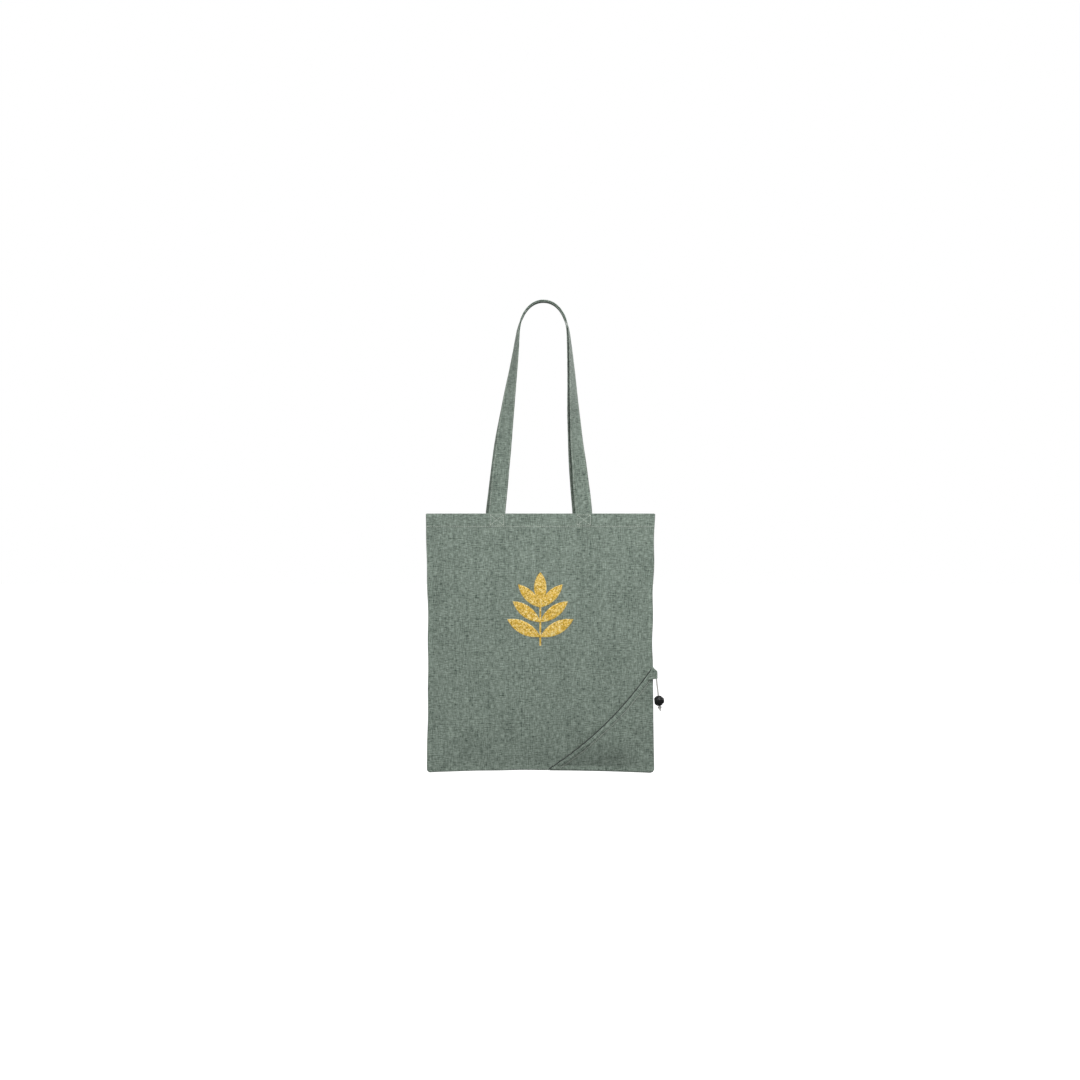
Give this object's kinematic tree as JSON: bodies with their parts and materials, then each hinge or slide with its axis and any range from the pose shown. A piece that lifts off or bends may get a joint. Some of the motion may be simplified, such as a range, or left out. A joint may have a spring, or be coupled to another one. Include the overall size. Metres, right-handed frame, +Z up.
{
  "type": "foldable tote bag",
  "caption": "Flat cloth tote bag with two long sewn-in handles and a drawstring corner pocket, closed by a cord lock, that the folded bag is stored in.",
  "frame": {"origin": "underside of the handles' top, where a hook or a hand carries the bag", "axes": "+Z up with the bag hanging, -Y towards the front with the pocket and the print, +X to the right as the front is seen"},
  "size_m": [0.3908, 0.036, 0.773],
  "materials": {
    "bag_cloth": "grey-green melange weave, matte",
    "seam_cloth": "raw seam allowance, matte",
    "strap_cloth": "folded strap of the bag cloth, matte",
    "thread": "pale sewing thread",
    "glitter_print": "gold glitter in clear ink",
    "cord": "white braided cord",
    "lock_plastic": "black moulded plastic",
    "spring_steel": "drawn wire"
  },
  "bodies": {
    "upper": {"back_panel_upper": "bag_cloth", "back_hem": "bag_cloth", "left_seam_upper": "seam_cloth", "right_seam_upper": "seam_cloth", "back_handle_left_end": "strap_cloth", "back_handle_right_end": "strap_cloth", "back_anchor_stitches": "thread", "back_hem_stitches": "thread"},
    "mouth_front": {"front_panel_upper": "bag_cloth", "front_hem": "bag_cloth", "front_handle_left_end": "strap_cloth", "front_handle_right_end": "strap_cloth", "front_anchor_stitches": "thread", "front_hem_stitches": "thread", "emblem": "glitter_print"},
    "lower": {"front_panel_lower": "bag_cloth", "back_panel_lower": "bag_cloth", "left_seam_lower": "seam_cloth", "right_seam_lower": "seam_cloth", "bottom_seam": "seam_cloth", "corner_pocket": "bag_cloth", "pocket_channel": "bag_cloth", "channel_end": "bag_cloth", "channel_stitches": "thread", "drawcord": "cord"},
    "front_handle": {"front_handle": "strap_cloth"},
    "back_handle": {"back_handle": "strap_cloth"},
    "tail": {"cord_tail": "cord", "cord_knot": "cord"},
    "lock": {"lock_body": "lock_plastic", "lock_spring": "spring_steel"},
    "plunger": {"lock_plunger": "lock_plastic"}
  },
  "joints": [
    {"name": "mouth_open", "type": "hinge", "parent": "upper", "child": "mouth_front", "pos_m": [-0.005, -0.0098, -0.578], "axis": [1, 0, 0], "range_deg": [0, 12]},
    {"name": "body_fold", "type": "hinge", "parent": "upper", "child": "lower", "pos_m": [-0.005, 0.0099, -0.578], "axis": [-1, 0, 0], "range_deg": [-175, 0]},
    {"name": "front_handle_fold", "type": "hinge", "parent": "mouth_front", "child": "front_handle", "pos_m": [-0.005, -0.0093, -0.3437], "axis": [1, 0, 0], "range_deg": [0, 172]},
    {"name": "back_handle_fold", "type": "hinge", "parent": "upper", "child": "back_handle", "pos_m": [-0.005, 0.009, -0.3437], "axis": [-1, 0, 0], "range_deg": [0, 172]},
    {"name": "tail_swing", "type": "hinge", "parent": "lower", "child": "tail", "pos_m": [0.18454, -0.0056, -0.6115], "axis": [0, -1, 0], "range_deg": [0, 60]},
    {"name": "lock_slide", "type": "slide", "parent": "tail", "child": "lock", "axis": [-0.1132, 0, 0.9936], "range_m": [0, 0.012]},
    {"name": "plunger_press", "type": "slide", "parent": "lock", "child": "plunger", "axis": [-0.9936, 0, -0.1132], "range_m": [0, 0.002], "stiffness_N_per_m": 800, "springref_m": -0.002, "deforming": ["lock_spring"]}
  ]
}
